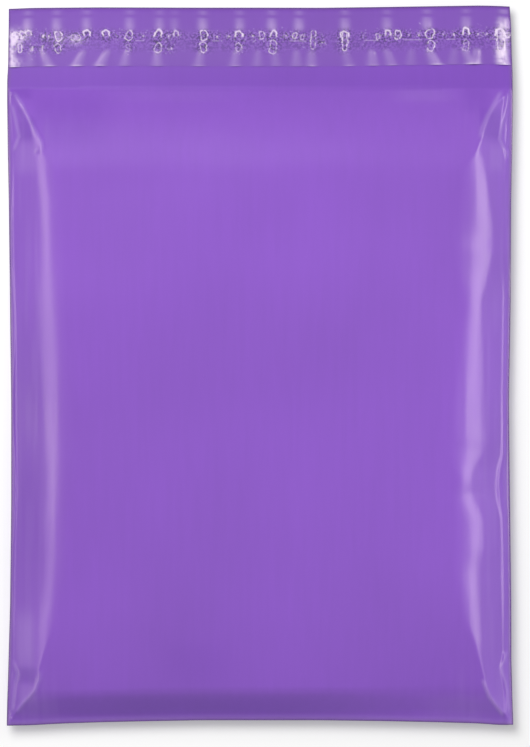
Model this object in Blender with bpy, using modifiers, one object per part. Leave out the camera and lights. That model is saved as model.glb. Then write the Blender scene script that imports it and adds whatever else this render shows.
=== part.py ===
"""A sealed, filled poly mailer lying on its back, as one closed solid.

Metres, +Z up.  +X is across the bag and +Y runs from the bottom fold to the mouth, where the
flap is folded over on to the front and glued down.  The origin is under the middle of the bag,
on the surface that it lies on.
"""

import math

import bmesh
import bpy

# Plan of the filled bag
bag_width = 0.329  # across the bottom corners
bag_length = 0.466  # bottom corners to the higher end of the mouth fold
mouth_skew = 0.0014  # the mouth fold's left end is this much lower than its right end
mouth_pull = 0.0011  # each long edge is this much further in at the mouth than at the bottom
waist_reach = 0.165  # length of edge, each way from the waist, over which it is drawn in
left_waist_pull = 0.0026  # how far the contents draw the left edge in
left_waist_y = -0.058
right_waist_pull = 0.0021
right_waist_y = -0.030
bottom_pull = 0.0032  # the bottom fold is this much further up at its middle than at its corners
corner_run = 0.070  # length of bottom fold over which each corner turns down

# Heights over the table
pack_height = 0.026  # front of the bag over the contents
seam_height = 0.0100  # side welds and bottom fold
mouth_height = 0.0070  # mouth fold, which nods towards the table

# Bands of film that run from the contents' front edges out to the seams
weld_width = 0.0026  # flat lip along each side weld and the bottom fold
left_slope = 0.0205
right_slope = 0.0180
bottom_slope = 0.0205
top_slope = 0.0360
middle_spread = 0.0035  # the side slopes run this much further in at the waist
margin_length = 0.0150  # flat stretch between the flap's free edge and the top slope
shoulder_round = 0.40  # share of a slope's height that its rounded shoulder takes up
back_slope_share = 0.75  # the same bands on the back are this much as wide as on the front

# Gathers where the side slopes leave the welds and round the four corners
weld_ridge_in = 0.0034  # the film crests this far in from each long edge
weld_ridge_rise = 0.0004
corner_gather_in = 0.0024  # the crest is this much further in at the corners
corner_gather_rise = 0.0008  # and this much higher
corner_gather_reach = 0.024  # length of edge, each way, that a corner gather takes up
mouth_gather_y = 0.146
bottom_gather_y = -0.196
buckle_depth = 0.0005  # slow waves along the side slopes
buckle_length = 0.118

# Film, drawn thicker than real film so that every wall is a sound solid
seam_thickness = 0.0008
flap_thickness = 0.0006

# Flap and the glue line under it
flap_length = 0.0384  # mouth fold to free edge
glue_start = 0.0140  # mouth fold to the near side of the glue line
glue_width = 0.0150
fold_radius = 0.0009  # outside of the mouth fold
flap_tail = 0.0030  # stretch of the flap's film that is still part of the back panel
flap_bond = 0.0003  # how far the glued flap is let into the front
lip_lift = 0.0008  # the flap's free edge stands this far off the front
ripple_depth = 0.0006  # gathers across the flap, which the glue line presses flat
ripple_length = 0.0287  # from one gather to the next
small_ripple_length = 0.0171

# Fineness of the mesh
cells_across = 40
cells_along = 54
edge_crowding = 1.55  # above 1 gathers the cells towards the edges, where the film turns
flap_cells_across = 62
flap_cells_along = 9
fold_cells = 4

film_colour = (0.271, 0.117, 0.578, 1.0)
film_roughness = 0.38

half_width = bag_width / 2
half_length = bag_length / 2
margin_end = half_length - flap_length - margin_length  # where the top slope starts


def crowd(share):
    """Moves -1..1 towards its ends, and keeps the ends and the middle where they are."""
    return math.copysign(1 - (1 - abs(share)) ** edge_crowding, share)


def soft_least(a, b, reach):
    """The lesser of two values, with the corner between them rounded over the given reach."""
    mix = max(reach - abs(a - b), 0.0) / reach
    return min(a, b) - mix * mix * reach / 4


def hump(distance, reach):
    """1 at no distance, falling smoothly to 0 at the reach and beyond."""
    return 0.5 + 0.5 * math.cos(math.pi * min(abs(distance) / reach, 1.0))


def left_edge(y):
    """How far the left edge is from the bag's middle line, at y."""
    to_mouth = (y + half_length) / bag_length
    return half_width - mouth_pull * to_mouth - left_waist_pull * hump(y - left_waist_y, waist_reach)


def right_edge(y):
    to_mouth = (y + half_length) / bag_length
    return half_width - mouth_pull * to_mouth - right_waist_pull * hump(y - right_waist_y, waist_reach)


def edge_x(share, y):
    """The place across the bag of a share from -1, the left edge, to 1, the right one."""
    return share * (left_edge(y) if share < 0 else right_edge(y))


def bottom_y(x):
    """Where the bottom fold lies, at x. Its corners turn down."""
    return -half_length + bottom_pull * (1 - hump(half_width - abs(x), corner_run))


def mouth_y(x):
    """Where the mouth fold lies, at x."""
    return half_length - mouth_skew * (half_width - x) / bag_width


def slope_share(distance, run):
    """0 on the lip of the weld, rising evenly over the run, and 1 past a rounded shoulder."""
    rise = max(distance - weld_width, 0.0) / run
    return max(soft_least(rise, 1.0, shoulder_round), 0.0)


def fullness(x, y, band):
    """How far the contents push the film out at a place, from 0 at a seam to 1. The four slopes
    meet in creases that run out to the bag's corners."""
    left_run = left_slope + middle_spread * hump(y - left_waist_y, waist_reach)
    right_run = right_slope + middle_spread * hump(y - right_waist_y, waist_reach)
    left = slope_share(left_edge(y) + x, left_run * band)
    right = slope_share(right_edge(y) - x, right_run * band)
    bottom = slope_share(y - bottom_y(x), bottom_slope * band)
    top = slope_share(margin_end - y + weld_width, top_slope * band)
    return min(left, right, bottom, top)


def gather_share(y):
    """1 where the corners gather the film along a long edge, and 0 away from them."""
    at_mouth = hump(y - mouth_gather_y, corner_gather_reach)
    return at_mouth + hump(y - bottom_gather_y, corner_gather_reach)


def weld_ridge(x, y):
    """The small crest that the film makes where it leaves the side welds."""
    gather = gather_share(y)
    inward = weld_ridge_in + corner_gather_in * gather
    from_edge = min(left_edge(y) + x, right_edge(y) - x)
    crest = max(1 - abs(from_edge - inward) / inward, 0.0)
    return (weld_ridge_rise + corner_gather_rise * gather) * crest


def buckle(y, fill):
    """Slow waves along the side slopes, which die out at the seam and on the contents."""
    return buckle_depth * math.sin(2 * math.pi * y / buckle_length) * 4 * fill * (1 - fill)


def seam_level(y):
    """Height of the seams: level along the contents, then nodding down to the mouth."""
    along = max(y - margin_end, 0.0) / (flap_length + margin_length)
    return seam_height - (seam_height - mouth_height) * along * along * (3 - 2 * along)


def front_z(x, y):
    level = seam_level(y) + seam_thickness / 2
    fill = fullness(x, y, 1.0)
    on_flap_margin = y > margin_end
    gathers = 0.0 if on_flap_margin else weld_ridge(x, y)
    return level + (pack_height - level) * fill + gathers + buckle(y, fill)


def back_z(x, y):
    level = seam_level(y) - seam_thickness / 2
    return level * (1 - fullness(x, y, back_slope_share))


def flap_rise(x, from_mouth):
    """How far the flap's middle layer stands off the front panel: let into it along the glue
    line, and loose and rippled on both sides of that."""
    bonded = flap_thickness / 2 - flap_bond
    at_fold = 2 * (fold_radius - flap_thickness / 2) - seam_thickness / 2
    at_lip = flap_thickness / 2 + lip_lift
    glue_end = glue_start + glue_width
    before = max(glue_start - from_mouth, 0.0) / (glue_start - fold_radius)
    after = max(from_mouth - glue_end, 0.0) / (flap_length - glue_end)
    wave = math.cos(2 * math.pi * x / ripple_length) + math.cos(2 * math.pi * x / small_ripple_length)
    ripple = ripple_depth * (wave + 2) / 4
    return bonded + (at_fold - bonded) * before + (at_lip - bonded + ripple) * after


def film_material():
    material = bpy.data.materials.new("purple_film")
    material.use_nodes = True
    shader = material.node_tree.nodes["Principled BSDF"]
    shader.inputs["Base Color"].default_value = film_colour
    shader.inputs["Roughness"].default_value = film_roughness
    shader.inputs["Metallic"].default_value = 0.0
    return material


def new_collection(name):
    collection = bpy.data.collections.new(name)
    bpy.context.scene.collection.children.link(collection)
    return collection


def grid_object(name, collection, across, along):
    """A flat grid from -1 to 1 both ways, which the caller shapes."""
    bpy.ops.mesh.primitive_grid_add(x_subdivisions=across, y_subdivisions=along, size=2)
    grid = bpy.context.object
    grid.name = name
    grid.data.name = name
    for old in list(grid.users_collection):
        old.objects.unlink(grid)
    collection.objects.link(grid)
    return grid


def shape_panel(verts, height):
    """Lays a grid's points over one panel of the bag, at the panel's height."""
    for vert in verts:
        along = (crowd(vert.co.y) + 1) / 2
        x = edge_x(crowd(vert.co.x), -half_length + along * bag_length)
        y = bottom_y(x) + along * (mouth_y(x) - fold_radius - bottom_y(x))
        vert.co = (x, y, height(x, y))


def pouch(name, collection):
    """The filled bag without its flap: a grid drawn out into a slab, whose upper face follows
    the front panel and whose underside follows the back panel."""
    body = grid_object(name, collection, cells_across, cells_along)
    mesh = bmesh.new()
    mesh.from_mesh(body.data)
    lower = list(mesh.verts)
    drawn = bmesh.ops.extrude_face_region(mesh, geom=mesh.faces[:])
    upper = [item for item in drawn["geom"] if isinstance(item, bmesh.types.BMVert)]
    shape_panel(lower, back_z)
    shape_panel(upper, front_z)
    bmesh.ops.recalc_face_normals(mesh, faces=mesh.faces[:])
    mesh.to_mesh(body.data)
    mesh.free()
    body.data.shade_smooth()
    return body


def flap_point(share, row):
    """A point of the flap's middle layer: the tail inside the back panel, then the turns of the
    mouth fold, then the stretch that lies over the front."""
    middle_radius = fold_radius - flap_thickness / 2
    over_front = max(row - 1 - fold_cells, 0) / flap_cells_along
    turn = math.pi * min(max(row - 1, 0) / fold_cells, 1.0)
    from_mouth = fold_radius - middle_radius * math.sin(turn)
    from_mouth += (flap_length - fold_radius) * over_front + (flap_tail if row == 0 else 0.0)
    x = edge_x(share, half_length - from_mouth)
    y = mouth_y(x) - from_mouth
    if over_front > 0:
        return x, y, front_z(x, y) + flap_rise(x, from_mouth)
    return x, y, seam_level(y) + middle_radius * (1 - math.cos(turn))


def flap(name, collection):
    """The back panel's film past the mouth, folded over on to the front."""
    rows = 1 + fold_cells + flap_cells_along
    sheet = grid_object(name, collection, flap_cells_across, rows)
    for vert in sheet.data.vertices:
        row = round((vert.co.y + 1) / 2 * rows)
        vert.co = flap_point(vert.co.x, row)
    film = sheet.modifiers.new("film", "SOLIDIFY")
    film.thickness = flap_thickness
    film.offset = 0
    return sheet


def main():
    for old in list(bpy.data.objects):
        bpy.data.objects.remove(old)
    bag_parts = new_collection("poly_mailer")
    helpers = new_collection("helpers")
    bag = pouch("mailer_bag", bag_parts)
    folded_flap = flap("folded_flap", helpers)
    folded_flap.hide_render = True
    folded_flap.display_type = "WIRE"
    join = bag.modifiers.new("flap", "BOOLEAN")
    join.operation = "UNION"
    join.solver = "EXACT"
    join.object = folded_flap
    bag.data.materials.append(film_material())


main()
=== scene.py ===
import math

import bpy
import numpy as np
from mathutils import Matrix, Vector


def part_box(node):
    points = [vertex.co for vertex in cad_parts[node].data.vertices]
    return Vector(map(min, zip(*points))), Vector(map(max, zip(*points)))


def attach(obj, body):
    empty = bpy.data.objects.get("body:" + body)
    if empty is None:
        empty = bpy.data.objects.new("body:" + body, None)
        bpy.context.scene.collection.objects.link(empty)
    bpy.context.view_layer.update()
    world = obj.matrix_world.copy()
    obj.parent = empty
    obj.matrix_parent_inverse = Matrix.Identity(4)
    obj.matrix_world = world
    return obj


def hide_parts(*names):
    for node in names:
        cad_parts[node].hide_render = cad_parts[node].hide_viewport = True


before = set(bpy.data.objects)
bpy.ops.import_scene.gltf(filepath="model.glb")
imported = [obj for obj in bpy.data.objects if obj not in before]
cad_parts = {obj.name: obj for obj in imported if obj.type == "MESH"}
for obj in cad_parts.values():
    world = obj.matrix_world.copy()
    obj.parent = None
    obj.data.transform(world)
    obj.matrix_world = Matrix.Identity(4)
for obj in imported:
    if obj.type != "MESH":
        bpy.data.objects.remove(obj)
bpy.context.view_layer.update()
bpy.ops.object.select_all(action="DESELECT")

mm = 0.001  # shapes are worked out in millimetres, from the middle of the bag
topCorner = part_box("mailer_bag")[1]
halfWidth = topCorner.x / mm
halfLength = topCorner.y / mm
packHeight = topCorner.z / mm  # front of the bag over its contents


# Curves and profiles that the film uses

curveStep = 0.5  # spacing of a smooth curve's own points
spareCells = 2  # random values are also drawn for a few cells beyond the bag's edges


def bell(distance, width):
    return np.exp(-((distance / width) ** 2))


def easeBetween(value, start, end):  # 0 before start, 1 after end
    share = np.clip((value - start) / (end - start), 0, 1)
    return share * share * (3 - 2 * share)


def softLeast(a, b, reach):  # the lesser of two, with the corner between them rounded
    mix = np.clip(reach - np.abs(a - b), 0, None) / reach
    return np.minimum(a, b) - mix * mix * reach / 4


def smoothCurve(at, points, blur=9.0):  # a curve through a few (place, value) points, smoothed over the blur
    places, values = zip(*sorted(points))
    fine = np.arange(places[0] - 3 * blur, places[-1] + 3 * blur, curveStep)
    window = np.hanning(2 * int(blur / curveStep) + 1)
    line = np.pad(np.interp(fine, places, values), len(window) // 2, mode="edge")
    return np.interp(at, fine, np.convolve(line, window / window.sum(), mode="valid"))


def lineDistance(x, y, points):  # distance to a bent line, and how far along the line that is, from 0 to 1
    nearest = np.full(np.shape(x), np.inf)
    along = np.zeros(np.shape(x))
    steps = [math.dist(a, b) for a, b in zip(points, points[1:])]
    gone = 0.0
    for (ax, ay), (bx, by), step in zip(points, points[1:], steps):
        share = np.clip(((x - ax) * (bx - ax) + (y - ay) * (by - ay)) / step ** 2, 0, 1)
        gap = np.hypot(x - ax - share * (bx - ax), y - ay - share * (by - ay))
        closer = gap < nearest
        nearest = np.where(closer, gap, nearest)
        along = np.where(closer, (gone + share * step) / sum(steps), along)
        gone += step
    return nearest, along


def patchy(x, y, size, seed):  # smooth random values from 0 to 1, which change over the given size
    draw = np.random.default_rng(seed)
    columns = int(2 * halfWidth / size) + 4 * spareCells
    rows = int(2 * halfLength / size) + 4 * spareCells
    grid = draw.random((rows, columns))
    across = np.clip((x + halfWidth) / size + spareCells, 0, columns - 2)
    along = np.clip((y + halfLength) / size + spareCells, 0, rows - 2)
    column = across.astype(int)
    row = along.astype(int)
    u = easeBetween(across - column, 0, 1)
    v = easeBetween(along - row, 0, 1)
    low = grid[row, column] * (1 - u) + grid[row, column + 1] * u
    high = grid[row + 1, column] * (1 - u) + grid[row + 1, column + 1] * u
    return low * (1 - v) + high * v


# Slabs: flat grids with a front and a back layer, laid out on -1 to 1 and shaped later

def makeSlab(name, columns, rows):
    bpy.ops.mesh.primitive_grid_add(x_subdivisions=columns, y_subdivisions=rows, size=2)
    slab = bpy.context.object
    slab.name = name
    slab.data.name = name
    bpy.ops.object.mode_set(mode="EDIT")
    bpy.ops.mesh.select_all(action="SELECT")
    bpy.ops.mesh.extrude_region_move(TRANSFORM_OT_translate={"value": (0, 0, 1)})
    bpy.ops.mesh.select_all(action="SELECT")
    bpy.ops.mesh.normals_make_consistent(inside=False)
    bpy.ops.object.mode_set(mode="OBJECT")
    return slab


def refineSlab(slab, wanted, cuts):  # divides the front faces whose middles are wanted
    faces = slab.data.polygons
    centres = np.empty(len(faces) * 3)
    faces.foreach_get("center", centres)
    centres = centres.reshape(-1, 3)
    chosen = (centres[:, 2] > 0.99) & wanted(centres[:, 0], centres[:, 1])
    bpy.ops.object.mode_set(mode="EDIT")
    bpy.ops.mesh.select_mode(type="FACE")
    bpy.ops.mesh.select_all(action="DESELECT")
    bpy.ops.object.mode_set(mode="OBJECT")
    faces.foreach_set("select", chosen)
    bpy.ops.object.mode_set(mode="EDIT")
    bpy.ops.mesh.subdivide(number_cuts=cuts)
    bpy.ops.object.mode_set(mode="OBJECT")


def readPoints(mesh):
    flat = np.empty(len(mesh.vertices) * 3)
    mesh.vertices.foreach_get("co", flat)
    return flat.reshape(-1, 3)


def writePoints(mesh, x, y, z):
    mesh.vertices.foreach_set("co", (np.stack([x, y, z], axis=1) * mm).ravel())
    mesh.update()


def paint(mesh, name, values):  # a value from 0 to 1 at each point, which the film's material reads
    layer = mesh.attributes.new(name, "FLOAT", "POINT")
    layer.data.foreach_set("value", np.clip(values, 0, 1).astype(np.float32))


# Filled film envelope

envelope = {
    "columns": 128,
    "rows": 176,
    "edgeCrowding": 1.3,  # above 1 gathers the mesh towards the edges, where the film turns
    "fineBand": 46.0,  # the front's mesh is twice as fine this near to an edge
    "hiddenFrom": 6.0,  # but not from this far past the margin on, where the flap hides it
    "seamHeight": 10.0,
    "mouthHeight": 7.0,
    "seamThickness": 0.5,
    "lip": 1.2,  # flat lip outside the side welds
    "bottomLip": 3.0,
    "mouthGap": 0.9,  # the envelope ends this far inside the mouth fold
    "flapLength": 38.4,
    "marginLength": 15.0,
    "topRun": 60.0,
    "leftTilt": 30.0,  # tilt of the film in degrees where the left slope starts to round over
    "rightTilt": 25.0,
    "shineShare": 1 / 3,  # the left slope shines this far round its rounding
    "softShoulder": 2.6,  # reach over which a soft shoulder is rounded
    "crispShoulder": 0.8,  # and a creased one
    "softStretch": (40.0, 75.0),  # along the bag, where the right shoulder turns from creased to soft
    "bottomShoulder": 20.0,
    "bottomCrown": 62.0,
    "bottomSoftness": 0.45,  # reach of the bottom shoulder's rounding for each degree of tilt
    "slopeBlend": 0.02,  # share of the height over which two slopes run into each other
    "backBand": 17.0,  # width of the slopes on the back
    "backLip": 1.0,
    "backTopShare": 0.7,  # the back's top slope is longer, so distances along it count for less
    "backBlend": 2.0,
    "backRounding": 0.4,
    # Smoothing of the lists below
    "sideBlur": 4.0,
    "endBlur": 7.0,
    "shoulderBlur": 6.0,
    "tiltBlur": 12.0,
    # Crests beside the welds
    "weldRise": 0.66,
    "weldWidth": 1.5,
    "leftWeldRise": 0.3,
    "leftWeldWidth": 0.9,
    "leftWeldIn": 2.0,
    "leftWeldSway": 0.8,
    "leftWeldSwing": 17.0,
    "crestFade": (-2.0, 3.0),  # below the margin
    # Creases
    "hollowEnds": 0.4,  # share of a hollow's length over which each end fades
    "crestEnds": 0.12,
    "waveRoom": 0.6,  # height left for the slow waves over the contents
    "pullRise": 0.08,  # fine creases drawn out along the bag
    "pullSize": 3.5,
    "pullStretch": 14.0,
    "pullSeed": 31,
    "pullFill": (0.1, 0.5),  # they come up over this share of the slopes' height
    # Painted shade and highlights
    "slopeShade": 0.5,  # painted shade on the slopes, deepest where the film lies lowest at the seams
    "marginShade": (-1.5, 0.8),  # painted shade on the margin, from the margin's lower end
    "edgeLine": 0.95,  # width of the painted shade line along the edges
    "weldLine": 0.9,  # and of the fainter one along the welds
    "weldLineShade": 0.3,
    # strength of the painted highlights along the welds and the bottom fold
    "rimSheen": 0.05,
    "rimShine": 0.7,  # width of the painted highlight along the welds
    "foldShine": (2.2, 1.8),  # the one along the bottom fold: distance from the fold, width
    "streakSheen": 0.035,  # painted sheen in streaks where the film is drawn taut on the slopes
    "streakSize": 2.2,
    "streakStretch": 16.0,
    "streakSeed": 57,
    "streakFloor": 0.4,  # random values below this leave no streak
    "streakTop": 20.0,  # the streaks fade out this far below the margin
    "streakSides": (30.0, 45.0),  # and over this distance from the side edges
    "streakFill": (0.08, 0.3),
}
# Half widths of the bag along its length
leftSide = [
    (-233, 164.6), (-218, 164.3), (-192, 163.5), (-153, 162.4), (-88, 161.7), (-23, 161.7),
    (42, 162.5), (107, 163.2), (140, 163.9), (172, 164.3), (188, 164.3), (196, 163.8), (215, 163.6),
    (233, 163.4),
]
rightSide = [
    (-233, 164.6), (-218, 164.1), (-192, 163.4), (-153, 163.3), (-88, 162.5), (-23, 161.8),
    (42, 162.9), (107, 163.2), (140, 163.9), (172, 164.3), (190, 164.2), (200, 163.7), (220, 163.4),
    (233, 162.4),
]
# The bottom fold and the mouth fold across the bag
bottomFold = [
    (-164.5, -234.4), (-150, -234.2), (-130, -233.1), (-104, -232.2), (-71, -231.5), (-39, -230.9),
    (39, -230.9), (78, -231.4), (117, -232.2), (143, -233.0), (156, -234.0), (164.5, -233.8),
]
mouthFold = [
    (-162, 231.8), (-149, 232.4), (-130, 232.6), (-104, 232.8), (-71, 232.7), (-39, 232.6),
    (0, 232.6), (39, 232.5), (78, 233.0), (117, 233.6), (143, 234.0), (156, 233.7), (162, 233.3),
]
# Place along the bag: distance from the left edge to the line that shines, then width of the rounding
leftShine = [
    (150, 20.4), (133, 21.6), (110, 23.5), (81, 24.2), (42, 23.1), (3, 25.4), (-36, 27.0),
    (-55, 27.2), (-75, 27.0), (-88, 26.6), (-101, 26.0), (-127, 26.0), (-142, 25.4), (-155, 24.4),
    (-173, 22.4), (-188, 22.0), (-203, 22.5),
]
leftCrown = [
    (150, 18), (125, 18), (100, 18), (70, 22), (42, 27), (-23, 30), (-60, 25), (-127, 24),
    (-160, 18), (-200, 17),
]
# Place along the bag: distance from the right edge to the slope's crease, then width of the rounding
rightShoulder = [
    (178, 30.0), (166, 27.0), (155, 23.2), (147, 21.8), (141, 20.0), (134, 16.8), (118, 13.2),
    (95, 9.4), (74, 8.6), (58, 13.5), (42, 18.8), (21, 18.0), (-10, 16.4), (-36, 15.0), (-50, 14.6),
    (-58, 17.4), (-67, 23.4), (-75, 25.6), (-83, 24.6), (-92, 20.2), (-101, 17.2), (-120, 17.6),
    (-133, 20.2), (-158, 19.6), (-180, 19.0), (-203, 19.2),
]
rightCrown = [
    (155, 8), (146, 9), (133, 20), (107, 28), (81, 38), (60, 28), (42, 15), (3, 22), (-36, 31),
    (-55, 31), (-65, 20), (-75, 11), (-84, 19), (-101, 25), (-127, 23), (-153, 19), (-180, 15),
    (-200, 15),
]
# Place across the bag: tilt of the film in degrees where the bottom slope starts to round over
bottomTilt = [
    (-164, 12.0), (-140, 10.0), (-115, 7.0), (-60, 6.8), (50, 6.8), (85, 8.8), (115, 11.5),
    (145, 11.0), (164, 10.0),
]
# Place along the bag: distance from the right edge to the crest beside the side welds
weldCrest = [
    (190, 3.2), (120, 4.0), (-35, 3.6), (-58, 4.0), (-67, 6.2), (-77, 7.4), (-88, 6.6), (-98, 4.8),
    (-120, 4.5), (-190, 4.5), (-230, 4.0),
]

# Crests and hollows where the film gathers round the corners of the contents. A value above 0 in the last
# column paints a highlight along the crest, and one below 0 paints shade into the hollow.
cornerFolds = [
    {"line": [(-160.8, 178.6), (-154.1, 168.4), (-146.6, 153.4), (-141.1, 143.7), (-140.0, 136.0)],
     "width": 1.2, "rise": 0.6, "paintedLight": 0.1},
    {"line": [(-158.5, 173.5), (-153.5, 162.0), (-149.5, 149.0)], "width": 3.4, "rise": -0.5, "paintedLight": -1.0},
    {"line": [(-161.5, 170.3), (-158.6, 159.3), (-156.0, 148.2), (-158.0, 143.7), (-160.8, 137.5)],
     "width": 1.1, "rise": 0.5, "paintedLight": 0.09},
    {"line": [(-144.4, 139.4), (-144.0, 135.4)], "width": 1.6, "rise": -0.25, "paintedLight": -1.0},
    {"line": [(157.3, 178.8), (152.8, 171.0), (147.6, 161.9), (143.7, 153.4), (142.4, 145.2)],
     "width": 1.4, "rise": 0.25, "paintedLight": 0.11},
    {"line": [(157.0, 172.5), (152.8, 160.5), (150.4, 147.0)], "width": 3.2, "rise": -0.3, "paintedLight": -1.0},
    {"line": [(161.7, 177.8), (159.3, 166.4), (157.3, 155.4), (155.7, 146.3), (159.3, 139.1), (161.9, 133.3)],
     "width": 1.1, "rise": 0.6, "paintedLight": 0.07},
    {"line": [(-142.0, -196.0), (-142.4, -203.5), (-145.6, -210.6), (-153.4, -219.1), (-158.9, -226.9)],
     "width": 1.2, "rise": 0.7, "paintedLight": 0.07},
    {"line": [(-160.6, -191.1), (-157.3, -200.2), (-158.9, -208.0), (-161.2, -226.9)],
     "width": 1.2, "rise": 0.6, "paintedLight": 0.07},
    {"line": [(-157.0, -202.5), (-146.5, -203.5)], "width": 4.0, "rise": -0.5, "paintedLight": -1.0},
    {"line": [(143.4, -202.0), (148.2, -214.5), (154.1, -222.3), (158.6, -228.2)],
     "width": 1.1, "rise": 0.5, "paintedLight": 0.15},
    {"line": [(161.2, -184.0), (156.7, -195.7), (157.3, -199.6), (160.6, -211.9), (161.9, -227.5)],
     "width": 1.2, "rise": 0.7, "paintedLight": 0.07},
]
# Places on the slopes where painted light makes the film paler: across and along the bag, reaches, strength
paintedLightPatches = [
    (-152.0, 134.5, 7.5, 10.5, 0.05), (-152.0, -178.0, 6.5, 18.0, 0.065),
    (-150.0, -213.0, 5.0, 6.0, 0.04), (153.0, 134.0, 5.0, 9.0, 0.04),
    (106.0, 175.0, 19.0, 4.5, 0.03), (-60.0, 175.0, 40.0, 4.5, 0.015),
    (133.0, -222.0, 26.0, 8.0, 0.025), (-147.0, -221.0, 14.0, 8.0, 0.02),
]
# Places where painted shade makes the film darker, in the same way
paintedShadePatches = [
    (-55.0, -221.5, 110.0, 8.0, 0.6), (-150.0, -65.0, 11.0, 75.0, 0.5),
    (-151.0, 152.5, 5.5, 7.5, 0.8), (-124.0, 158.0, 26.0, 18.0, 0.45),
    (-156.0, 176.5, 8.0, 4.0, 0.5), (-151.0, -201.0, 8.0, 5.5, 0.8), (149.5, 155.5, 8.0, 10.0, 0.9),
    (-40.0, -193.0, 22.0, 14.0, 0.2), (141.0, 172.0, 9.0, 9.0, 0.4),
]
# Slow waves over the contents: length, direction in degrees, phase, rise
slowWaves = [
    (148.0, 76.0, 0.4, 0.42), (97.0, 128.0, 2.1, 0.22), (71.0, 21.0, 4.4, 0.12),
    (53.0, 99.0, 1.3, 0.08),
]


def leftEdge(y):
    return smoothCurve(y, leftSide, envelope["sideBlur"])


def rightEdge(y):
    return smoothCurve(y, rightSide, envelope["sideBlur"])


def bottomLine(x):
    return smoothCurve(x, bottomFold, envelope["endBlur"])


def mouthLine(x):
    return smoothCurve(x, mouthFold, envelope["endBlur"])


def acrossBag(share, y):  # place across the bag of a share from -1, the left edge, to 1, the right one
    return np.where(share < 0, share * leftEdge(y), share * rightEdge(y))


marginEnd = halfLength - envelope["flapLength"] - envelope["marginLength"]  # where the top slope starts
# A rounded shoulder is the mean of sharp ones that are moved by these shares of the rounding
roundingSteps = (-1.0, -0.6, -0.25, 0.25, 0.6, 1.0)


def seamLevel(y):  # seams lie level beside the contents and nod down to the mouth
    nod = easeBetween(y, marginEnd, halfLength)
    return envelope["seamHeight"] - (envelope["seamHeight"] - envelope["mouthHeight"]) * nod


def slopeProfile(distance, lip, shoulder, crown, tilt, rounding):
    # 0 on the lip, an even slope up to the shoulder, then rounded over on to the contents, which are at 1
    crownShare = np.tan(np.radians(tilt)) * crown / 2 / (packHeight - envelope["seamHeight"])
    total = 0.0
    for step in roundingSteps:
        moved = distance + step * rounding
        slope = np.clip((1 - crownShare) * (moved - lip) / (shoulder - lip), 0, None)
        over = np.clip((moved - shoulder) / crown, 0, 1)
        total = total + np.where(moved < shoulder, slope, 1 - crownShare * (1 - over) ** 2)
    return total / len(roundingSteps)


def frontFill(x, y):  # how far the contents push the front out, from 0 at a seam to 1
    lip = envelope["lip"]
    crown = smoothCurve(y, leftCrown)
    shoulder = smoothCurve(y, leftShine) - crown * envelope["shineShare"]
    left = slopeProfile(x + leftEdge(y), lip, shoulder, crown, envelope["leftTilt"], envelope["softShoulder"])
    crown = smoothCurve(y, rightCrown)
    shoulder = smoothCurve(y, rightShoulder, envelope["shoulderBlur"])
    soft = easeBetween(y, *envelope["softStretch"])
    softness = envelope["softShoulder"] * soft + envelope["crispShoulder"]
    right = slopeProfile(rightEdge(y) - x, lip, shoulder, crown, envelope["rightTilt"], softness)
    tilt = smoothCurve(x, bottomTilt, envelope["tiltBlur"])
    bottom = slopeProfile(y - bottomLine(x), envelope["bottomLip"], envelope["bottomShoulder"],
                          envelope["bottomCrown"], tilt, envelope["bottomSoftness"] * tilt)
    top = 1 - (1 - np.clip((marginEnd - y) / envelope["topRun"], 0, 1)) ** 2
    blend = envelope["slopeBlend"]
    return softLeast(softLeast(left, right, blend), softLeast(bottom, top, blend), blend)


def foldShare(x, y, fold):  # 1 along the fold, 0 away from it and at its ends
    gap, along = lineDistance(x, y, fold["line"])
    fade = envelope["crestEnds"] if fold["rise"] > 0 else envelope["hollowEnds"]
    return bell(gap, fold["width"]) * easeBetween(along, 0, fade) * (1 - easeBetween(along, 1 - fade, 1))


def weldCrests(x, y):  # the film crests a little where it leaves the side welds
    fromCrest = rightEdge(y) - x - smoothCurve(y, weldCrest, envelope["sideBlur"])
    height = envelope["weldRise"] * bell(fromCrest, envelope["weldWidth"])
    leftIn = envelope["leftWeldIn"] + envelope["leftWeldSway"] * np.sin(y / envelope["leftWeldSwing"])
    height += envelope["leftWeldRise"] * bell(x + leftEdge(y) - leftIn, envelope["leftWeldWidth"])
    return height * easeBetween(marginEnd - y, *envelope["crestFade"])


def frontHeight(x, y):
    level = seamLevel(y) + envelope["seamThickness"] / 2
    fill = frontFill(x, y)
    height = level + (packHeight - envelope["waveRoom"] - level) * fill
    for length, direction, phase, rise in slowWaves:
        turn = math.radians(direction)
        along = x * math.cos(turn) + y * math.sin(turn)
        height += fill * rise * np.sin(2 * np.pi * along / length + phase)
    pulled = patchy(x, y / envelope["pullStretch"], envelope["pullSize"], envelope["pullSeed"])
    height += envelope["pullRise"] * pulled * easeBetween(fill, *envelope["pullFill"])
    for fold in cornerFolds:
        height += fold["rise"] * foldShare(x, y, fold)
    return height + weldCrests(x, y)


def backHeight(x, y):
    level = seamLevel(y) - envelope["seamThickness"] / 2
    lip = envelope["backLip"]
    blend = envelope["backBlend"]
    sides = softLeast(x + leftEdge(y), rightEdge(y) - x, blend)
    ends = softLeast(y - bottomLine(x), (marginEnd - y) * envelope["backTopShare"] + lip, blend)
    fill = (softLeast(sides, ends, blend) - lip) / envelope["backBand"]
    fill = softLeast(fill, np.ones(np.shape(x)), envelope["backRounding"])
    return level * (1 - np.clip(fill, 0, 1))


def crowd(share):
    return np.sign(share) * (1 - (1 - np.abs(share)) ** envelope["edgeCrowding"])


def nearEdge(across, along):
    fromSide = halfWidth * (1 - np.abs(crowd(across)))
    fromEnd = halfLength * (1 - np.abs(crowd(along)))
    hidden = crowd(along) * halfLength > marginEnd + envelope["hiddenFrom"]
    return ((fromSide < envelope["fineBand"]) | (fromEnd < envelope["fineBand"])) & ~hidden


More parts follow.
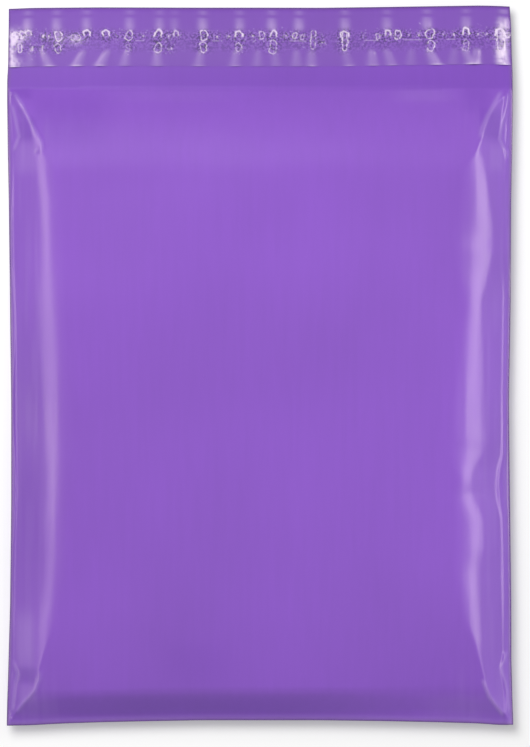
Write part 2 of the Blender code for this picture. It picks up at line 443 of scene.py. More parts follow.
def patches(x, y, places):  # patches with a level middle and a soft edge, each with its own strength
    total = np.zeros(np.shape(x))
    for place, along, reachX, reachY, strength in places:
        total += strength * np.exp(-(((x - place) / reachX) ** 4) - ((y - along) / reachY) ** 4)
    return total


def slopeStreaks(x, y, sides):  # painted sheen in streaks where the film is drawn taut, on the slopes below the margin
    drawn = patchy(x, y / envelope["streakStretch"], envelope["streakSize"], envelope["streakSeed"])
    onSlope = easeBetween(1 - frontFill(x, y), *envelope["streakFill"])
    nearSides = 1 - easeBetween(sides, *envelope["streakSides"])
    below = easeBetween(marginEnd - y, 0, envelope["streakTop"])
    return np.clip(drawn - envelope["streakFloor"], 0, 1) * onSlope * nearSides * below


def paintEnvelope(mesh, x, y):
    sides = np.minimum(x + leftEdge(y), rightEdge(y) - x)
    fromFold = y - bottomLine(x)
    rim = np.minimum(sides, np.minimum(fromFold, mouthLine(x) - y))
    # painted shade: a dark line along the outer edges, and a fainter one along the welds
    weldLine = envelope["weldLineShade"] * bell(rim - envelope["lip"], envelope["weldLine"])
    paint(mesh, "weld", np.maximum(bell(rim, envelope["edgeLine"]), weldLine))

    # painted highlights along the welds, the bottom fold and the corner crests, in pale patches and as sheen
    # streaks on the slopes
    foldIn, foldWidth = envelope["foldShine"]
    hazeandsheen = envelope["rimSheen"] * bell(rim - envelope["lip"], envelope["rimShine"])
    hazeandsheen += envelope["rimSheen"] * bell(fromFold - foldIn, foldWidth)
    hollows = 0 * x
    # painted highlights on the corner crests and painted shade in the corner hollows
    for fold in cornerFolds:
        share = foldShare(x, y, fold)
        hazeandsheen += max(fold["paintedLight"], 0) * share
        hollows += max(-fold["paintedLight"], 0) * share
    hazeandsheen += patches(x, y, paintedLightPatches) + envelope["streakSheen"] * slopeStreaks(x, y, sides)
    paint(mesh, "hazeandsheen", hazeandsheen)
    paint(mesh, "glue", 0 * x)

    # painted shade on the margin, on the slopes, in the dark patches and in the corner hollows
    marginStart, marginFull = envelope["marginShade"]
    onMargin = easeBetween(y, marginEnd + marginStart, marginEnd + marginFull)
    onSlope = envelope["slopeShade"] * (1 - frontFill(x, y)) + patches(x, y, paintedShadePatches)
    paint(mesh, "empty", np.maximum(np.maximum(onMargin, onSlope), hollows))


def makeEnvelope():
    bag = makeSlab("film_envelope", envelope["columns"], envelope["rows"])
    refineSlab(bag, nearEdge, 1)
    points = readPoints(bag.data)
    along = (crowd(points[:, 1]) + 1) / 2
    x = acrossBag(crowd(points[:, 0]), (2 * along - 1) * halfLength)
    y = bottomLine(x) + along * (mouthLine(x) - envelope["mouthGap"] - bottomLine(x))
    z = np.where(points[:, 2] > 0.5, frontHeight(x, y), backHeight(x, y))
    writePoints(bag.data, x, y, z)
    paintEnvelope(bag.data, x, y)
    bpy.ops.object.shade_smooth()
    return bag


# Folded flap with its glue line

flap = {
    "columns": 336,
    "tailRows": 1,
    "foldRows": 6,
    "frontRows": 40,
    "fineStart": 13.5,  # the mesh is three times as fine from here to fineEnd
    "fineEnd": 30.5,
    "smoothAngle": 50.0,
    "thickness": 0.3,
    "foldRadius": 0.8,
    "tail": 3.0,  # stretch that still lies in line with the back panel
    "glueStart": 14.5,
    "bondedHeight": 0.08,  # the flap's middle layer over the front where it's glued
    "lipSink": 0.1,
    "lipSinkReach": 3.0,
    "sideFade": 2.0,  # the gathers die out this near to the side edges
    # Gathers between the mouth and the glue line, as distances from the crease or from the mouth
    "crease": 6.5,  # a faint crease runs along the flap this far from the mouth
    "upperStart": (-0.5, 1.5),  # from the crease
    "upperGrowth": 6.0,  # they are at their full strength this far past the crease
    "upperEnd": (13.0, 17.0),
    "faintGathers": 0.4,  # strength between the mouth and the crease
    "faintStart": (1.5, 3.0),
    "faintEnd": (-2.0, -0.5),  # from the crease
    "gatherRise": 0.8,
    "upperWidth": 2.88,
    # Gathers below the glue line, which widen towards the free edge
    "lowerStart": (26.0, 30.0),
    "spreadFrom": 28.0,
    "lowerWidth": 1.92,
    "lowerSpread": 1.68,
    "curlRise": 0.15,
    "curlReach": 1.6,
    # Blisters and the crest between them
    "blisterRise": 0.35,
    "blisterWidth": 0.38,
    "blisterReach": 2.5,
    "dotRadius": 1.0,  # smaller blisters are dots, and the others are rings
    "dotShare": 0.8,
    "ringShare": 0.92,
    "breakSize": 0.9,  # the rings are broken here and there
    "breakSeed": 11,
    "breakStrength": 1.9,
    "archShare": 0.85,  # rings that are open below are arches
    "archWidth": 0.6,
    "archStrength": 0.85,
    "archOpening": (0.3, 2.2),
    "crestPlace": 21.8,
    "crestWidth": 0.35,
    "crestStrength": 0.45,
    "crestFade": 1.0,
    # Painted highlights on the gathers, curls, blister rings and glares, and whitening
    "evenHaze": 0.03,
    "evenHazeStart": (1.0, 4.0),
    "gatherSheen": 0.18,
    "upperSheen": 0.07,  # added to it above the glue line
    "upperSheenEnd": (15.0, 20.0),
    "fullGather": 1.5,  # gathers stronger than this are whitened no more
    "curlSheen": 0.45,
    "curlSheenReach": 1.5,
    "blisterSheen": 0.82,
    "blisterContrast": 1.3,
    "grainHaze": 0.22,
    "glareSize": 1.6,  # the glares are mottled
    "glareSeed": 23,
    "glareStrength": 1.7,
    # Darkening: the flap is dimmer all over, and painted shade darkens its side edges and the mouth fold
    "dim": 0.15,
    "dimBelow": 0.02,  # added to it below the glue line
    "dimStart": (28.0, 32.0),
    "edgeLine": 0.95,
    "foldLine": 1.3,
}
# Gathers above the glue line: across the bag, strength. Gathers below it: across the bag at the glue,
# across the bag at the free edge, strength.
upperGathers = [
    (-150.8, 1.0), (-132.0, 0.9), (-112.5, 0.8), (-84.5, 0.8), (-65.0, 0.7), (-55.3, 0.4),
    (-37.0, 1.0), (-13.0, 0.8), (7.8, 1.0), (25.4, 1.0), (55.3, 0.9), (82.6, 0.8), (108.6, 1.0),
    (133.9, 0.8), (158.3, 1.6),
]
lowerGathers = [
    (-161.0, -160.0, 1.4), (-148.9, -148.9, 0.5), (-141.0, -136.5, 1.0), (-114.4, -119.0, 0.9),
    (-98.8, -104.0, 1.0), (-85.8, -87.8, 0.7), (-66.3, -66.3, 0.8), (-37.7, -39.7, 0.7),
    (-15.0, -16.3, 0.7), (-0.7, -1.3, 0.5), (9.8, 11.1, 0.5), (24.1, 24.1, 0.6), (33.8, 33.8, 0.7),
    (55.3, 58.5, 0.5), (72.8, 73.5, 0.8), (82.6, 85.8, 0.7), (98.8, 98.2, 0.4), (109.9, 114.4, 1.1),
    (126.8, 125.5, 0.4), (132.6, 137.8, 0.9), (141.1, 139.8, 0.9), (156.0, 158.0, 1.5),
]
# Places where the free edge curls up: across the bag, width, strength
lipCurls = [
    (-160.0, 3.0, 0.8), (-136.5, 3.5, 0.6), (-119.0, 3.5, 1.0), (-103.5, 3.0, 0.6),
    (-39.0, 3.5, 0.25), (-15.5, 3.0, 0.3), (34.0, 2.0, 0.6), (58.0, 3.0, 0.5), (74.0, 3.0, 0.3),
    (86.0, 3.0, 0.3), (115.5, 3.5, 1.0), (137.5, 4.0, 1.0), (158.0, 3.0, 0.9),
]
# Blisters over the glue: across the bag, distance from the mouth, radius, half length, open below, strength
blisters = [
    (-158.5, 18.0, 2.9, 0.0, 0, 0.9), (-155.0, 17.5, 1.8, 0.6, 0, 0.7),
    (-150.5, 16.8, 2.2, 0.0, 1, 1.0), (-156.0, 26.0, 1.2, 1.6, 0, 0.9),
    (-148.0, 27.0, 0.9, 0.8, 0, 0.8), (-141.0, 18.6, 0.9, 0.5, 0, 1.0),
    (-137.4, 18.8, 0.7, 0.2, 0, 0.9), (-141.5, 26.5, 0.7, 1.2, 0, 0.7),
    (-131.0, 18.6, 2.6, 0.5, 0, 1.1), (-131.5, 26.6, 2.2, 0.8, 0, 0.8),
    (-121.5, 19.5, 1.6, 0.4, 0, 0.7), (-118.0, 19.8, 1.6, 0.0, 0, 0.7),
    (-112.5, 17.6, 2.5, 0.4, 1, 1.2), (-100.1, 17.6, 2.5, 0.4, 1, 1.2),
    (-93.0, 18.8, 0.4, 0.0, 0, 0.8), (-85.2, 18.6, 2.4, 0.8, 0, 0.9),
    (-85.8, 26.8, 1.4, 0.8, 0, 0.4), (-76.0, 18.8, 0.5, 0.3, 0, 0.8),
    (-66.3, 18.0, 2.7, 0.6, 1, 1.3), (-66.3, 26.6, 2.4, 0.8, 0, 0.8),
    (-59.5, 18.8, 0.7, 0.2, 0, 0.8), (-54.6, 17.6, 1.9, 0.4, 1, 0.8),
    (-57.5, 27.0, 0.6, 0.6, 0, 0.6), (-36.4, 18.2, 2.7, 0.5, 0, 1.3),
    (-36.8, 25.8, 2.3, 1.0, 0, 0.8), (-28.0, 19.0, 0.6, 0.2, 0, 0.9),
    (-20.2, 18.8, 0.6, 0.3, 0, 0.8), (-13.7, 18.0, 2.5, 0.5, 1, 1.2),
    (-13.9, 26.0, 1.9, 1.2, 0, 0.7), (-4.6, 18.6, 0.5, 0.2, 0, 1.0), (1.3, 18.0, 1.9, 0.5, 0, 0.9),
    (8.8, 18.0, 2.4, 0.4, 1, 1.1), (8.5, 26.0, 2.4, 2.0, 0, 0.8), (16.9, 18.4, 0.5, 0.1, 0, 1.1),
    (22.5, 18.2, 1.4, 0.6, 0, 1.0), (27.5, 19.4, 1.2, 0.4, 0, 0.7), (34.5, 21.0, 1.6, 4.6, 0, 0.8),
    (40.3, 22.9, 0.5, 0.0, 0, 1.0), (54.9, 18.3, 2.6, 0.6, 1, 1.1), (55.2, 22.0, 1.7, 5.0, 0, 1.1),
    (67.0, 18.8, 0.4, 0.0, 0, 0.6), (76.7, 19.2, 1.4, 0.4, 0, 0.7), (83.2, 17.8, 2.1, 0.4, 1, 1.1),
    (89.7, 18.4, 2.3, 0.5, 0, 1.1), (96.9, 18.6, 0.5, 0.1, 0, 0.8), (103.4, 18.8, 0.5, 0.4, 0, 0.9),
    (110.5, 18.0, 2.8, 0.6, 0, 1.2), (111.2, 25.8, 2.1, 1.8, 0, 0.8),
    (119.0, 18.4, 0.5, 0.1, 0, 0.9), (126.1, 18.8, 0.6, 0.5, 0, 0.9),
    (133.9, 17.8, 2.6, 0.5, 1, 1.4), (134.0, 26.2, 1.9, 1.6, 0, 0.5),
    (141.7, 18.6, 0.6, 0.2, 0, 0.8), (147.6, 18.6, 0.7, 0.2, 0, 0.8),
    (156.0, 18.4, 3.0, 0.8, 1, 1.5), (156.5, 22.5, 2.4, 5.4, 0, 1.3),
    (161.0, 18.8, 1.6, 0.3, 0, 1.0),
]
# Stretches of the thin crest between the two rows of blisters
glueCrests = [
    (-80.6, -76.0), (-30.6, -26.7), (19.5, 29.9), (68.3, 76.7), (94.3, 104.0), (121.6, 126.8),
    (149.5, 154.0),
]
# Painted glare at the two ends of the glue line: across the bag, distance from the mouth, reaches, strength
glares = [
    (-159.0, 18.5, 6.0, 4.5, 0.9), (-161.0, 26.0, 2.6, 6.5, 0.7), (-159.5, 35.5, 4.5, 3.0, 0.5),
    (-131.0, 19.0, 4.0, 4.0, 0.25), (-120.0, 21.5, 5.0, 3.0, 0.3), (157.0, 13.0, 3.0, 4.0, 0.5),
    (158.5, 20.0, 3.4, 3.4, 0.9), (157.5, 30.0, 3.6, 5.0, 0.9), (157.0, 36.0, 3.0, 3.0, 0.5),
]
# Turns round a blister, shift and depth of the waves that make its ring uneven
ringWaves = [(2, 1, 0.14), (3, 2, 0.10), (6, 3, 0.07)]
# Glue under the film: distances are from the mouth
glue = {
    "grainSeed": 5,
    "grainCount": 800,
    "smallestGrain": 0.25,
    "largestGrain": 0.42,
    "grainRise": 0.12,
    "grainSpread": (2.0, 2.2),  # across and along the bag
    "grainReach": 2.0,
    "start": (12.0, 15.0),
    "end": (30.0, 33.0),
    "haloStrength": 0.8,  # glue gathers round the blisters
    "haloReach": 2.0,
    "bandStrength": 0.35,  # and lies in a patchy band between them
    "bandStart": (14.0, 18.0),
    "bandEnd": (26.0, 31.0),
    "bandFloor": 0.3,
    "bandSize": 7.0,
    "bandSeed": 41,
}


def upperGather(fromMouth):  # how strong the gathers between the mouth and the glue line are
    pastCrease = fromMouth - flap["crease"]
    strong = easeBetween(pastCrease, *flap["upperStart"]) * (1 - easeBetween(fromMouth, *flap["upperEnd"]))
    strong *= (1 + easeBetween(pastCrease, 0, flap["upperGrowth"])) / 2
    faint = easeBetween(fromMouth, *flap["faintStart"]) * (1 - easeBetween(pastCrease, *flap["faintEnd"]))
    return strong + flap["faintGathers"] * faint


def gathers(x, fromMouth):
    height = np.zeros(np.shape(x))
    above = upperGather(fromMouth)
    for place, strength in upperGathers:
        height += strength * above * bell(x - place, flap["upperWidth"])
    spreadFrom = flap["spreadFrom"]
    toLip = np.clip((fromMouth - spreadFrom) / (envelope["flapLength"] - spreadFrom), 0, 1)
    below = easeBetween(fromMouth, *flap["lowerStart"])
    for atGlue, atLip, strength in lowerGathers:
        middle = atGlue + (atLip - atGlue) * toLip
        height += strength * below * bell(x - middle, flap["lowerWidth"] + flap["lowerSpread"] * toLip)
    return height


def curls(x, fromMouth):
    lipEnd = easeBetween(fromMouth, envelope["flapLength"] - flap["curlReach"], envelope["flapLength"])
    return lipEnd * sum(strength * bell(x - place, width) for place, width, strength in lipCurls)


def blisterCrests(x, fromMouth):
    crests = np.zeros(np.shape(x))
    breaks = patchy(x, fromMouth, flap["breakSize"], flap["breakSeed"])
    for place, down, radius, halfLong, openBelow, strength in blisters:
        reach = radius + flap["blisterReach"]
        near = (np.abs(x - place) < reach) & (np.abs(fromMouth - down) < reach + halfLong)
        sideways = x[near] - place
        lengthways = fromMouth[near] - down
        around = np.arctan2(sideways, lengthways)
        uneven = 1.0
        for turns, shift, depth in ringWaves:
            uneven = uneven + depth * np.sin(turns * around + shift * place)
        out = np.hypot(sideways, np.clip(np.abs(lengthways) - halfLong, 0, None)) / uneven
        if radius < flap["dotRadius"]:
            crest = bell(out, radius * flap["dotShare"])
        else:
            crest = bell(out - radius * flap["ringShare"], flap["blisterWidth"])
            crest = crest * np.clip(flap["breakStrength"] * breaks[near], 0, 1)
        if openBelow:
            arch = flap["archStrength"] * bell(out - radius * flap["archShare"], flap["archWidth"])
            crest = np.maximum(crest, arch) * (1 - easeBetween(lengthways, *flap["archOpening"]))
        crests[near] = np.maximum(crests[near], strength * crest)
    thin = flap["crestStrength"] * bell(fromMouth - flap["crestPlace"], flap["crestWidth"])
    fade = flap["crestFade"]
    for start, end in glueCrests:
        ends = easeBetween(x, start - fade, start) * (1 - easeBetween(x, end, end + fade))
        crests = np.maximum(crests, thin * ends)
    return crests


def grains(x, fromMouth):  # grains of glue under the film, scattered round the blisters
    draw = np.random.default_rng(glue["grainSeed"])
    height = np.zeros(np.shape(x))
    spreadX, spreadY = glue["grainSpread"]
    reach = glue["grainReach"]
    for _ in range(glue["grainCount"]):
        blister = blisters[draw.integers(len(blisters))]
        place = blister[0] + draw.normal(0, spreadX)
        down = blister[1] + draw.normal(0, spreadY)
        size = draw.uniform(glue["smallestGrain"], glue["largestGrain"])
        near = (np.abs(x - place) < reach) & (np.abs(fromMouth - down) < reach)
        height[near] += bell(np.hypot(x[near] - place, fromMouth[near] - down), size)
    return np.clip(height, 0, 1)


def glueMask(x, fromMouth):  # how much glue lies under the film
    mask = np.zeros(np.shape(x))
    halo = glue["haloReach"]
    for place, down, radius, halfLong, _, strength in blisters:
        around = bell(x - place, radius + halo) * bell(fromMouth - down, radius + halfLong + halo)
        mask += glue["haloStrength"] * strength * around
    band = easeBetween(fromMouth, *glue["bandStart"]) * (1 - easeBetween(fromMouth, *glue["bandEnd"]))
    band *= glue["bandFloor"] + patchy(x, fromMouth, glue["bandSize"], glue["bandSeed"])
    onGlue = easeBetween(fromMouth, *glue["start"]) * (1 - easeBetween(fromMouth, *glue["end"]))
    return np.clip(mask + glue["bandStrength"] * band, 0, 1) * onGlue


def flapRest(fromMouth):  # height of the flap's middle layer over the front, without its gathers
    bonded = flap["bondedHeight"]
    atFold = 2 * flap["foldRadius"] - flap["thickness"] - envelope["seamThickness"] / 2
    before = np.clip((flap["glueStart"] - fromMouth) / flap["glueStart"], 0, 1)
    sinkStart = envelope["flapLength"] - flap["lipSinkReach"]
    sunk = flap["lipSink"] * easeBetween(fromMouth, sinkStart, envelope["flapLength"])
    return bonded + (atFold - bonded) * before - sunk


def flapRows():
    return flap["tailRows"] + flap["foldRows"] + flap["frontRows"]


def inGlue(across, along):
    over = (along + 1) / 2 * flapRows() - flap["tailRows"] - flap["foldRows"]
    fromMouth = over / flap["frontRows"] * envelope["flapLength"]
    return (fromMouth > flap["fineStart"]) & (fromMouth < flap["fineEnd"])


def paintFlap(mesh, x, y, fromMouth, gather, curl, crests, grain):
    sides = np.minimum(x + leftEdge(y), rightEdge(y) - x)
    lip = envelope["flapLength"] - fromMouth
    # painted highlights on the gathers, the curled lip, the blister rings and the glares, with whitening on
    # the glue grains and evenly over the flap
    above = 1 - easeBetween(fromMouth, *flap["upperSheenEnd"])
    hazeandsheen = (flap["gatherSheen"] + flap["upperSheen"] * above) * np.clip(gather, 0, flap["fullGather"])
    hazeandsheen += flap["curlSheen"] * np.clip(curl, 0, 1) * bell(lip, flap["curlSheenReach"])
    hazeandsheen += flap["blisterSheen"] * np.clip(crests, 0, 1) ** flap["blisterContrast"]
    hazeandsheen += flap["grainHaze"] * grain
    hazeandsheen += flap["evenHaze"] * easeBetween(fromMouth, *flap["evenHazeStart"])
    mottled = np.clip(flap["glareStrength"] * patchy(x, y, flap["glareSize"], flap["glareSeed"]), 0, 1)
    for place, down, reachX, reachY, strength in glares:
        hazeandsheen += strength * bell(x - place, reachX) * bell(fromMouth - down, reachY) * mottled
    paint(mesh, "hazeandsheen", hazeandsheen)
    # the flap is dimmer all over, and painted shade darkens its side edges and the mouth fold
    dim = flap["dim"] + flap["dimBelow"] * easeBetween(fromMouth, *flap["dimStart"])
    edges = np.maximum(bell(sides, flap["edgeLine"]), bell(fromMouth, flap["foldLine"]))
    paint(mesh, "weld", np.maximum(dim, edges))
    paint(mesh, "glue", glueMask(x, fromMouth))
    # the whole flap takes the darker colour of the painted shade
    paint(mesh, "empty", np.ones(len(x)))


def makeFlap():
    sheet = makeSlab("seal_flap", flap["columns"], flapRows())
    refineSlab(sheet, inGlue, 2)
    points = readPoints(sheet.data)
    row = (points[:, 1] + 1) / 2 * flapRows()
    outward = (points[:, 2] - 0.5) * flap["thickness"]
    middle = flap["foldRadius"] - flap["thickness"] / 2
    radius = middle + outward
    inTail = np.clip(1 - row / flap["tailRows"], 0, 1)
    turn = np.pi * np.clip((row - flap["tailRows"]) / flap["foldRows"], 0, 1)
    over = np.clip(row - flap["tailRows"] - flap["foldRows"], 0, None) / flap["frontRows"]
    onFront = flap["foldRadius"] + (envelope["flapLength"] - flap["foldRadius"]) * over
    inFold = flap["foldRadius"] - radius * np.sin(turn) + flap["tail"] * inTail
    fromMouth = np.where(over > 0, onFront, inFold)
    x = acrossBag(points[:, 0], halfLength - fromMouth)
    y = mouthLine(x) - fromMouth

    sides = np.minimum(x + leftEdge(y), rightEdge(y) - x)
    gather = gathers(x, fromMouth) * easeBetween(sides, 0, flap["sideFade"])
    curl = curls(x, fromMouth)
    onTop = (points[:, 2] > 0.5) & (over > 0)
    crests = np.zeros(len(x))
    grain = np.zeros(len(x))
    crests[onTop] = blisterCrests(x[onTop], fromMouth[onTop])
    grain[onTop] = grains(x[onTop], fromMouth[onTop])
    lying = frontHeight(x, y) + flapRest(fromMouth) + outward
    lying += flap["gatherRise"] * gather + flap["curlRise"] * curl
    lying += flap["blisterRise"] * crests + glue["grainRise"] * grain
    z = np.where(over > 0, lying, seamLevel(y) + middle - radius * np.cos(turn))
    writePoints(sheet.data, x, y, z)
    paintFlap(sheet.data, x, y, fromMouth, gather, curl, crests, grain)
    bpy.ops.object.shade_smooth_by_angle(angle=math.radians(flap["smoothAngle"]))
    return sheet


# Film

film = {
    "colour": (0.234, 0.081, 0.516, 1.0),
    "paintedShadeColour": (0.180, 0.054, 0.440, 1.0),  # colour of the painted shade on the slopes, in the hollows and on the margin, which the whole flap also takes
    # pale colour of the whitening and of the painted highlights
    "hazeAndSheenColour": (0.86, 0.72, 0.94, 1.0),
    # colour of the painted shade along the edges, and of the dimmer flap
    "edgeShadeAndDimColour": (0.09, 0.035, 0.17, 1.0),
    "speckColour": (0.035, 0.012, 0.11, 1.0),
    "speckAmount": 1.0,
    "glintAmount": 0.16,
    "mottleDepth": 0.08,
    "streakDepth": 0.03,
    "streakStretch": 0.08,  # the streaks run along the bag
    "roughness": 0.25,
    "roughnessSpread": 0.03,
    "bumpDistance": 0.02 * mm,
    # Scale and detail of each noise
    "mottleNoise": (11.0, 1.0),
    "streakNoise": (260.0, 2.0),
    "speckNoise": (720.0, 1.0),
    "wrinkleNoise": (140.0, 3.0),
    # Stretches of a noise's values that are used
    "evenRange": (0.1, 0.9),
    "speckRange": (0.43, 0.51),
    "glintRange": (0.56, 0.68),
}


def addSocket(tree, name, direction, kind):
    return tree.interface.new_socket(name=name, in_out=direction, socket_type=kind)


def mixColours(tree, factor, first, second):
    mix = tree.nodes.new("ShaderNodeMix")
    mix.data_type = "RGBA"
    tree.links.new(factor, mix.inputs["Factor"])
    tree.links.new(first, mix.inputs["A"])
    mix.inputs["B"].default_value = second
    return mix.outputs["Result"]


def addNoise(tree, place, scale, detail):
    noise = tree.nodes.new("ShaderNodeTexNoise")
    noise.inputs["Scale"].default_value = scale
    noise.inputs["Detail"].default_value = detail
    tree.links.new(place, noise.inputs["Vector"])
    return noise.outputs["Fac"]


def remap(tree, value, source, low, high):  # the source range of values becomes low to high
    change = tree.nodes.new("ShaderNodeMapRange")
    tree.links.new(value, change.inputs["Value"])
    change.inputs["From Min"].default_value = source[0]
    change.inputs["From Max"].default_value = source[1]
    change.inputs["To Min"].default_value = low
    change.inputs["To Max"].default_value = high
    return change.outputs["Result"]


def multiply(tree, first, second):
    product = tree.nodes.new("ShaderNodeMath")
    product.operation = "MULTIPLY"
    tree.links.new(first, product.inputs[0])
    tree.links.new(second, product.inputs[1])
    return product.outputs["Value"]


def makeFilmSkin():  # blown film: streaked and mottled, specked and glinting over the glue, with painted highlights, whitening, painted shade and darker edges mixed in from painted values
    tree = bpy.data.node_groups.new("filmSkin", "ShaderNodeTree")
    addSocket(tree, "Colour", "INPUT", "NodeSocketColor")
    for name in ("HazeAndSheen", "Weld", "Glue", "Empty"):
        addSocket(tree, name, "INPUT", "NodeSocketFloat")
    addSocket(tree, "Colour", "OUTPUT", "NodeSocketColor")
    addSocket(tree, "Roughness", "OUTPUT", "NodeSocketFloat")
    addSocket(tree, "Height", "OUTPUT", "NodeSocketFloat")
    inside = tree.nodes.new("NodeGroupInput")
    outside = tree.nodes.new("NodeGroupOutput")
    place = tree.nodes.new("ShaderNodeTexCoord").outputs["Object"]
    stretch = tree.nodes.new("ShaderNodeMapping")
    stretch.inputs["Scale"].default_value = (1.0, film["streakStretch"], 1.0)
    tree.links.new(place, stretch.inputs["Vector"])

    mottle = addNoise(tree, place, *film["mottleNoise"])
    streaks = addNoise(tree, stretch.outputs["Vector"], *film["streakNoise"])
    specks = addNoise(tree, place, *film["speckNoise"])
    wrinkles = addNoise(tree, place, *film["wrinkleNoise"])

    # painted shade darkens the colour wherever it was painted
    colour = mixColours(tree, inside.outputs["Empty"], inside.outputs["Colour"], film["paintedShadeColour"])
    shade = tree.nodes.new("ShaderNodeMix")
    shade.data_type = "RGBA"
    shade.blend_type = "MULTIPLY"
    shade.inputs["Factor"].default_value = 1.0
    tree.links.new(colour, shade.inputs["A"])
    mottled = remap(tree, mottle, film["evenRange"], 1 - film["mottleDepth"], 1 + film["mottleDepth"])
    streaked = remap(tree, streaks, film["evenRange"], 1 - film["streakDepth"], 1 + film["streakDepth"])
    tree.links.new(multiply(tree, mottled, streaked), shade.inputs["B"])

    speckShare = remap(tree, specks, film["speckRange"], film["speckAmount"], 0.0)
    glintShare = remap(tree, specks, film["glintRange"], 0.0, film["glintAmount"])
    colour = mixColours(tree, multiply(tree, speckShare, inside.outputs["Glue"]), shade.outputs["Result"],
                        film["speckColour"])
    colour = mixColours(tree, multiply(tree, glintShare, inside.outputs["Glue"]), colour, film["hazeAndSheenColour"])
    # painted highlights and whitening, then the painted shade along the edges and the dimmer flap
    colour = mixColours(tree, inside.outputs["HazeAndSheen"], colour, film["hazeAndSheenColour"])
    colour = mixColours(tree, inside.outputs["Weld"], colour, film["edgeShadeAndDimColour"])
    tree.links.new(colour, outside.inputs["Colour"])
    smoothest = film["roughness"] - film["roughnessSpread"]
    roughest = film["roughness"] + film["roughnessSpread"]
    tree.links.new(remap(tree, mottle, film["evenRange"], smoothest, roughest), outside.inputs["Roughness"])
    tree.links.new(wrinkles, outside.inputs["Height"])
    return tree


def makeFilm(name, skin):
    material = bpy.data.materials.new(name)
    material.use_nodes = True
    tree = material.node_tree
    shader = tree.nodes["Principled BSDF"]
    group = tree.nodes.new("ShaderNodeGroup")
    group.node_tree = skin
    group.inputs["Colour"].default_value = film["colour"]
    for socket in ("HazeAndSheen", "Weld", "Glue", "Empty"):
        painted = tree.nodes.new("ShaderNodeAttribute")
        painted.attribute_name = socket.lower()
        tree.links.new(painted.outputs["Fac"], group.inputs[socket])
    bump = tree.nodes.new("ShaderNodeBump")
    bump.inputs["Distance"].default_value = film["bumpDistance"]
    tree.links.new(group.outputs["Height"], bump.inputs["Height"])
    tree.links.new(group.outputs["Colour"], shader.inputs["Base Color"])
    tree.links.new(group.outputs["Roughness"], shader.inputs["Roughness"])
    tree.links.new(bump.outputs["Normal"], shader.inputs["Normal"])
    return material


# Floor, lights and camera

studio = {
    "ambient": 0.19,
    "floorSize": 14.0,
    "floorHeight": -0.2 * mm,
    "floorColour": (0.95, 0.95, 0.945, 1.0),
    "floorRoughness": 0.9,
    "floorLift": 0.315,  # glow that keeps the floor white beside the bag
    "farFloorLift": 0.85,  # and away from it, where the lamps' light falls off
    "liftRange": (1.0, 1.6),  # between these, as shares of the way from the bag's middle to its outline
    "lampAim": (0.0, 0.0, 0.02),
    "lens": 150.0,
    "sensor": 36.0,
    "sharpHeight": 10.0 * mm,  # a millimetre is as long as in the photograph at this height
    "farthest": 20.0,
    "pixel": 0.65 * mm,
    "imageWidth": 530,
    "imageHeight": 747,
    "bagMiddle": (260.0, 365.0),  # the pixel that shows the middle of the bag
}
# Brightness is as seen in a mirror. The softbox and the panels light but aren't mirrored,
# the strips are only mirrored, and the panels and strips are for the bag alone.
lamps = [
    {"name": "topSoftbox", "place": (-0.45, 0.66, 1.386), "size": (0.9, 0.9), "strength": 6.6,
     "colour": (1.0, 1.0, 1.0), "mirrored": False, "lights": True, "bagOnly": False},
    {"name": "leftPanel", "place": (-1.41, 0.2, 0.51), "size": (1.1, 2.4), "strength": 1.4,
     "colour": (1.0, 0.98, 0.92), "mirrored": False, "lights": True, "bagOnly": True},
    {"name": "rightPanel", "place": (1.41, 0.2, 0.51), "size": (1.1, 2.4), "strength": 2.6,
     "colour": (1.0, 1.0, 1.0), "mirrored": False, "lights": True, "bagOnly": True},
    {"name": "lowPanel", "place": (0.0, -1.35, 0.5), "size": (2.0, 0.8), "strength": 0.5,
     "colour": (0.35, 0.3, 1.0), "mirrored": False, "lights": True, "bagOnly": True},
    {"name": "leftStrip", "place": (-0.93, 0.44, 1.10), "size": (0.36, 1.32), "strength": 4.8,
     "colour": (1.0, 0.92, 0.68), "mirrored": True, "lights": False, "bagOnly": True},
    {"name": "leftLowStrip", "place": (-0.93, -0.57, 1.10), "size": (0.36, 0.70), "strength": 3.1,
     "colour": (1.0, 0.92, 0.68), "mirrored": True, "lights": False, "bagOnly": True},
    {"name": "rightStrip", "place": (0.93, 0.25, 1.10), "size": (0.34, 1.10), "strength": 6.9,
     "colour": (1.0, 0.95, 0.70), "mirrored": True, "lights": False, "bagOnly": True},
    {"name": "rightLowStrip", "place": (0.93, -0.61, 1.10), "size": (0.34, 0.62), "strength": 2.8,
     "colour": (1.0, 0.95, 0.70), "mirrored": True, "lights": False, "bagOnly": True},
]


def whiteBackground(tree):  # 1 for the camera, for mirror-like reflections and through glass
    path = tree.nodes.new("ShaderNodeLightPath")
    first = tree.nodes.new("ShaderNodeMath")
    first.operation = "MAXIMUM"
    second = tree.nodes.new("ShaderNodeMath")
    second.operation = "MAXIMUM"
    tree.links.new(path.outputs["Is Camera Ray"], first.inputs[0])
    tree.links.new(path.outputs["Is Glossy Ray"], first.inputs[1])
    tree.links.new(first.outputs[0], second.inputs[0])
    tree.links.new(path.outputs["Is Transmission Ray"], second.inputs[1])
    return second.outputs[0]


def makeWorld():
    world = bpy.data.worlds.new("studioAir")
    bpy.context.scene.world = world
    world.use_nodes = True
    tree = world.node_tree
    background = tree.nodes["Background"]
    background.inputs["Color"].default_value = (1, 1, 1, 1)
    strength = tree.nodes.new("ShaderNodeMapRange")
    tree.links.new(whiteBackground(tree), strength.inputs["Value"])
    strength.inputs["To Min"].default_value = studio["ambient"]
    strength.inputs["To Max"].default_value = 1.0
    tree.links.new(strength.outputs["Result"], background.inputs["Strength"])


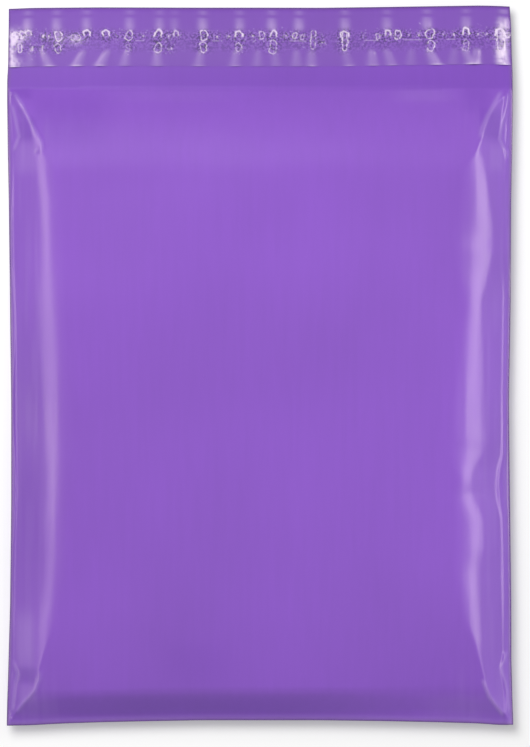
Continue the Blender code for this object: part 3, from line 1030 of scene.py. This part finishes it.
def makeFloor():
    bpy.ops.mesh.primitive_plane_add(size=studio["floorSize"], location=(0, 0, studio["floorHeight"]))
    floor = bpy.context.object
    floor.name = "studio_floor"
    material = bpy.data.materials.new("white paper")
    material.use_nodes = True
    tree = material.node_tree
    shader = tree.nodes["Principled BSDF"]
    shader.inputs["Base Color"].default_value = studio["floorColour"]
    shader.inputs["Roughness"].default_value = studio["floorRoughness"]
    shader.inputs["Specular IOR Level"].default_value = 0.0
    shader.inputs["Emission Color"].default_value = (1, 1, 1, 1)
    outward = tree.nodes.new("ShaderNodeVectorMath")
    outward.operation = "DIVIDE"
    outward.inputs[1].default_value = (halfWidth * mm, halfLength * mm, 1.0)
    tree.links.new(tree.nodes.new("ShaderNodeTexCoord").outputs["Object"], outward.inputs[0])
    eitherWay = tree.nodes.new("ShaderNodeVectorMath")
    eitherWay.operation = "ABSOLUTE"
    tree.links.new(outward.outputs["Vector"], eitherWay.inputs[0])
    shares = tree.nodes.new("ShaderNodeSeparateXYZ")
    tree.links.new(eitherWay.outputs["Vector"], shares.inputs["Vector"])
    share = tree.nodes.new("ShaderNodeMath")
    share.operation = "MAXIMUM"
    tree.links.new(shares.outputs["X"], share.inputs[0])
    tree.links.new(shares.outputs["Y"], share.inputs[1])
    lift = remap(tree, share.outputs["Value"], studio["liftRange"],
                 studio["floorLift"], studio["farFloorLift"])
    tree.links.new(multiply(tree, lift, whiteBackground(tree)), shader.inputs["Emission Strength"])
    floor.data.materials.append(material)
    return floor


def makeLamps(bagPieces):
    for item in lamps:
        bpy.ops.object.light_add(type="AREA", location=item["place"])
        lamp = bpy.context.object
        lamp.name = item["name"]
        lamp.data.shape = "RECTANGLE"
        lamp.data.size, lamp.data.size_y = item["size"]
        lamp.data.color = item["colour"]
        lamp.data.energy = item["strength"] * math.pi * item["size"][0] * item["size"][1]
        aim = Vector(studio["lampAim"]) - Vector(item["place"])
        lamp.rotation_euler = aim.to_track_quat("-Z", "X").to_euler()
        lamp.visible_glossy = item["mirrored"]
        lamp.visible_diffuse = item["lights"]
        if item["bagOnly"]:
            lamp.light_linking.receiver_collection = bagPieces


def makeCamera():
    pixel = studio["pixel"]
    x = (studio["imageWidth"] / 2 - studio["bagMiddle"][0]) * pixel
    y = (studio["bagMiddle"][1] - studio["imageHeight"] / 2) * pixel
    # The sensor spans the height of the picture
    distance = studio["lens"] / studio["sensor"] * studio["imageHeight"] * pixel
    bpy.ops.object.camera_add(location=(x, y, distance + studio["sharpHeight"]), rotation=(0, 0, 0))
    camera = bpy.context.object
    camera.data.lens = studio["lens"]
    camera.data.sensor_width = studio["sensor"]
    camera.data.clip_end = studio["farthest"]
    bpy.context.scene.camera = camera


makeCamera()
makeWorld()
floor = makeFloor()
bpy.context.scene.view_settings.view_transform = "Standard"
print("studio is set")

filmMaterial = makeFilm("purple film", makeFilmSkin())
bag = makeEnvelope()
bag.data.materials.append(filmMaterial)
print("envelope", len(bag.data.polygons), "faces")
sealFlap = makeFlap()
sealFlap.data.materials.append(filmMaterial)
print("flap", len(sealFlap.data.polygons), "faces")

bagPieces = bpy.data.collections.new("bagPieces")
for piece in (bag, sealFlap):
    bagPieces.objects.link(piece)
makeLamps(bagPieces)

for piece in (bag, sealFlap):
    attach(piece, "root")
    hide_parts("mailer_bag")
